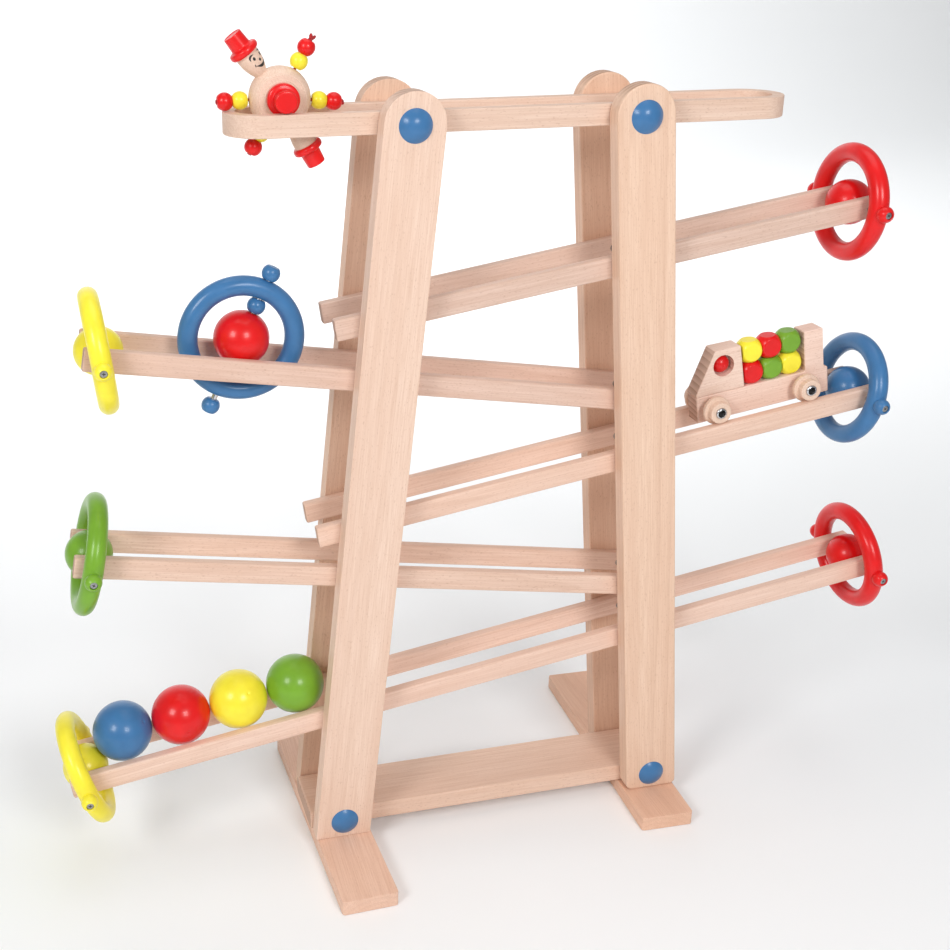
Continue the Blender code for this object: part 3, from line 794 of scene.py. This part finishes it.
HEAD = [
    (0.0, 40.3), (8.9, 40.3), (8.95, 38.0), (8.85, 35.4), (8.45, 32.0), (7.75, 29.0), (6.8, 26.2),
    (5.7, 23.8), (4.6, 21.8), (3.4, 20.0), (3.2, 18.0), (0.0, 18.0),
]
HAT = [
    (0.0, 56.4), (5.6, 56.4), (6.2, 56.8), (6.9, 56.9), (7.1, 56.3), (7.6, 46.7), (8.0, 45.8), (10.2, 45.3),
    (11.3, 44.4), (11.6, 42.8), (11.3, 41.2), (10.2, 40.1), (9.1, 39.8), (8.3, 40.2), (0.0, 40.4),
]


# Height of the paint film above the skin, and the mean radius of the head where the face is.
FILM_LIFT = 0.03
FACE_RADIUS = 9.2


def head_radius(height):
    """Radius of the head at a distance from the clown's axle, both in millimetres."""
    for (r_high, high), (r_low, low) in zip(HEAD[1:], HEAD[2:]):
        if low <= height <= high:
            return r_low + (r_high - r_low) * (height - low) / (high - low)
    return HEAD[1][0]


def on_face(frame_matrix, turn, x, height):
    """Point on the head: x millimetres sideways along the skin from the middle of the face."""
    radius = head_radius(height) + FILM_LIFT
    angle = turn + x / FACE_RADIUS
    return frame_matrix @ (Vector((radius * math.sin(angle), -radius * math.cos(angle), height)) * MM)


def face_patch(name, rows, frame_matrix, turn, material):
    """Thin painted patch laid on the head from rows of (x, height) points."""
    work = bmesh.new()
    grid = [[work.verts.new(on_face(frame_matrix, turn, x, height)) for x, height in row] for row in rows]
    for first, second in zip(grid, grid[1:]):
        for a, b, c, d in zip(first, first[1:], second[1:], second):
            work.faces.new((a, b, c, d))
    patch = finish_mesh(name, work, Matrix.Identity(4), 80.0)
    modifier = patch.modifiers.new("paint_film", "SOLIDIFY")
    modifier.thickness = 0.06 * MM
    modifier.offset = 0.0
    dress(patch, "clown", material)


def band(centre_line, widths):
    """Rows of points for a stroke with its own width at each point."""
    left, mid, right = [], [], []
    for index, (x, y) in enumerate(centre_line):
        ahead = centre_line[min(index + 1, len(centre_line) - 1)]
        behind = centre_line[max(index - 1, 0)]
        along = Vector((ahead[0] - behind[0], ahead[1] - behind[1])).normalized()
        half = widths[index] / 2
        left.append((x - along.y * half, y + along.x * half))
        mid.append((x, y))
        right.append((x + along.y * half, y - along.x * half))
    return [left, mid, right]


def curve_points(start, control, end, count):
    """Points along a quadratic curve."""
    points = []
    for index in range(count + 1):
        t = index / count
        x = start[0] * (1 - t) ** 2 + control[0] * 2 * t * (1 - t) + end[0] * t * t
        y = start[1] * (1 - t) ** 2 + control[1] * 2 * t * (1 - t) + end[1] * t * t
        points.append((x, y))
    return points


def oval(centre_x, centre_y, half_x, half_y, count=18):
    """Rows of points that fill an oval."""
    rows = []
    for step in range(7):
        fraction = -1 + 2 * step / 6
        reach = math.sqrt(max(0.0, 1 - fraction * fraction)) * 0.999 + 0.001
        y = centre_y + fraction * half_y
        rows.append([(centre_x + reach * half_x * (-1 + 2 * i / count), y) for i in range(count + 1)])
    return rows


def taper(count, widest):
    """Stroke widths that swell from both ends to the middle."""
    return [0.12 + widest * math.sin(math.pi * index / count) for index in range(count + 1)]


def paint_face(label, frame_matrix, turn):
    """Simple painted doll face: brows, eyes, a dot nose and a wide smile."""
    for side, name in ((-1, "left"), (1, "right")):
        brow = curve_points((side * 7.0, 34.8), (side * 7.3, 38.9), (side * 2.3, 37.9), 14)
        face_patch("brow_" + name + "_" + label, band(brow, taper(14, 1.45)), frame_matrix, turn, INK)
        face_patch("eye_" + name + "_" + label, oval(side * 3.9, 35.0, 1.05, 1.45), frame_matrix, turn, INK)
    face_patch("nose_" + label, oval(0.3, 31.9, 1.15, 1.15), frame_matrix, turn, INK)
    upper = curve_points((-5.9, 30.1), (0.2, 27.5), (6.3, 30.3), 20)
    lower = curve_points((-5.9, 29.9), (0.2, 23.1), (6.3, 30.1), 20)
    rows = []
    for t in (0.0, 0.33, 0.67, 1.0):
        rows.append([(a[0] + (b[0] - a[0]) * t, a[1] + (b[1] - a[1]) * t) for a, b in zip(upper, lower)])
    face_patch("smile_" + label, rows, frame_matrix, turn, INK)
    for side, name in ((-1, "left"), (1, "right")):
        dimple = curve_points((side * 5.6, 31.3), (side * 6.7, 30.5), (side * 6.3, 29.2), 6)
        face_patch("dimple_" + name + "_" + label, band(dimple, taper(6, 0.75)), frame_matrix, turn, INK)


# Each head's angle about the clown's axle, and how far its face is turned about the neck.
HEADS = {"upper": (127.0, math.radians(36)), "lower": (299.0, math.radians(180))}
for label, (angle, face_turn) in HEADS.items():
    swing = CLOWN_AT @ Matrix.Rotation(math.radians(90.0 - angle), 4, "Y")
    dress(lathe("clown_head_" + label, HEAD, swing, 56, 50.0), "clown", clown_wood)
    painted(lathe("clown_hat_" + label, rounded(HAT, 0.8, 4), swing, 64, 50.0), "clown", "red")
    paint_face(label, swing, face_turn)

ARMS = {"right": -5.5, "upper": 60.0, "left": 182.3, "lower": 240.0}
KNOT = rounded([(0.0, 47.7), (1.3, 47.6), (2.0, 47.0), (1.6, 46.4), (0.9, 46.0), (0.0, 46.0)], 0.4, 3)
# Lengths of the loose cord ends past each knot.
CORD_ENDS = {"right": (2.8, 2.2), "upper": (6.0, 5.2), "left": (), "lower": ()}
ARM_CORD = [(0.0, 47.6), (1.15, 47.4), (1.15, 22.8), (0.0, 22.6)]
for index, (label, angle) in enumerate(ARMS.items()):
    node = "clown_arm_" + label
    swing = CLOWN_AT @ Matrix.Rotation(math.radians(90.0 - angle), 4, "Y")
    swing = swing @ Matrix.Rotation(index * 0.8, 4, "Z")
    for where, distance, colour in (("inner", 29.7, "yellow"), ("outer", 41.0, "red")):
        seat = swing @ Matrix.Translation((0.0, 0.0, distance * MM))
        bead = lathe("arm_bead_" + where + "_" + label, barrel_bead(6.75, 5.6), seat, 44, 30.0)
        painted(bead, "clown", colour, node if where == "outer" else None)
    dress(lathe("arm_cord_" + label, ARM_CORD, swing, 16), "clown", CORD)
    dress(lathe("arm_knot_" + label, KNOT, swing, 24, 60.0), "clown", CORD)
    for end, (length, splay) in enumerate(zip(CORD_ENDS[label], (0.75, -0.55))):
        at = swing @ Matrix.Translation((0.0, 0.0, 46.8 * MM)) @ Matrix.Rotation(splay, 4, "Y")
        tip = [(0.0, length), (0.9, length - 0.2), (1.45, length * 0.62), (0.9, 0.0), (0.0, 0.0)]
        dress(lathe("arm_cord_end_" + str(end) + "_" + label, tip, at, 14, 60.0), "clown", CORD)

# ---------------------------------------------------------------- floor, light and camera

FLOOR_NEAR = -4.0
FLOOR_FAR = 3.0
COVE = 1.5
BACKDROP_TOP = 5.0
FLOOR_DROP = 0.0003
PAPER = (0.938, 0.952, 0.962, 1.0)
PAPER_PALE = (0.960, 0.972, 0.982, 1.0)
WORLD_STRENGTH = 0.34


def studio_floor():
    """Pale floor that curves up far behind the object."""
    work = bmesh.new()
    profile = [(FLOOR_NEAR, 0.0), (FLOOR_FAR, 0.0)]
    for step in range(1, 11):
        angle = math.radians(step * 9)
        profile.append((FLOOR_FAR + COVE * math.sin(angle), COVE - COVE * math.cos(angle)))
    profile.append((FLOOR_FAR + COVE, BACKDROP_TOP))
    rows = [[work.verts.new((x, y, z - FLOOR_DROP)) for x in (-6.0, 6.0)] for y, z in profile]
    for first, second in zip(rows, rows[1:]):
        work.faces.new((first[0], first[1], second[1], second[0]))
    floor = finish_mesh("studio_floor", work, Matrix.Identity(4), 60.0)
    material, nodes, links, shader = new_material("studio_paper")
    coords = nodes.new("ShaderNodeTexCoord")
    mottle = stretched_noise(nodes, links, coords, (0.4, 0.4, 0.4), NO_TURN, 1.0, 2.0)
    links.new(mix_colour(nodes, links, mottle, PAPER, PAPER_PALE), shader.inputs["Base Color"])
    shader.inputs["Roughness"].default_value = 0.8
    shader.inputs["Specular IOR Level"].default_value = 0.15
    floor.data.materials.append(material)


def area_light(name, place, target, size, energy):
    """Soft rectangular light that looks at a point."""
    data = bpy.data.lights.new(name, "AREA")
    data.shape = "RECTANGLE"
    data.size = size[0]
    data.size_y = size[1]
    data.energy = energy
    light = bpy.data.objects.new(name, data)
    light.location = place
    light.rotation_mode = "QUATERNION"
    light.rotation_quaternion = (Vector(target) - Vector(place)).to_track_quat("-Z", "Y")
    bpy.context.scene.collection.objects.link(light)


studio_floor()
area_light("key_left", (-1.55, -1.20, 1.45), (0.0, 0.0, 0.33), (0.65, 0.65), 17.5)
area_light("key_right", (0.30, -1.95, 1.45), (0.0, 0.0, 0.33), (0.65, 0.65), 20.0)
area_light("top_soft", (0.1, 0.2, 2.4), (0.0, 0.0, 0.3), (1.6, 1.4), 10.0)
area_light("backdrop_wash", (0.0, 1.1, 2.6), (0.2, 4.3, 1.3), (2.4, 0.6), 115.0)

sky = bpy.data.worlds.new("studio")
sky.use_nodes = True
sky.node_tree.nodes["Background"].inputs["Color"].default_value = (1.0, 1.0, 1.0, 1.0)
sky.node_tree.nodes["Background"].inputs["Strength"].default_value = WORLD_STRENGTH
bpy.context.scene.world = sky
bpy.context.scene.view_settings.view_transform = "Standard"

CAMERA_PLACE = (-376.7, -995.0, 782.4)
CAMERA_YAW = 0.2449
CAMERA_PITCH = 0.3547
CAMERA_ROLL = 0.0012
CAMERA_SHIFT = (0.13, -0.08)
SENSOR = 36.0
IMAGE_SIDE = 950
FOCAL_PIXELS = 1356.1

level = math.cos(CAMERA_PITCH)
forward = Vector((math.sin(CAMERA_YAW) * level, math.cos(CAMERA_YAW) * level, -math.sin(CAMERA_PITCH)))
level_right = Vector((math.cos(CAMERA_YAW), -math.sin(CAMERA_YAW), 0.0))
level_up = level_right.cross(forward)
right = level_right * math.cos(CAMERA_ROLL) + level_up * math.sin(CAMERA_ROLL)
up = level_up * math.cos(CAMERA_ROLL) - level_right * math.sin(CAMERA_ROLL)
camera_data = bpy.data.cameras.new("camera")
camera_data.sensor_width = SENSOR
camera_data.lens = FOCAL_PIXELS * SENSOR / IMAGE_SIDE
camera_data.shift_x = CAMERA_SHIFT[0]
camera_data.shift_y = CAMERA_SHIFT[1]
camera_data.clip_start = 0.05
camera_data.clip_end = 50.0
camera = bpy.data.objects.new("camera", camera_data)
turned = Matrix((right, up, -forward)).transposed().to_4x4()
camera.matrix_world = Matrix.Translation(world(*CAMERA_PLACE)) @ turned
bpy.context.scene.collection.objects.link(camera)
bpy.context.scene.camera = camera
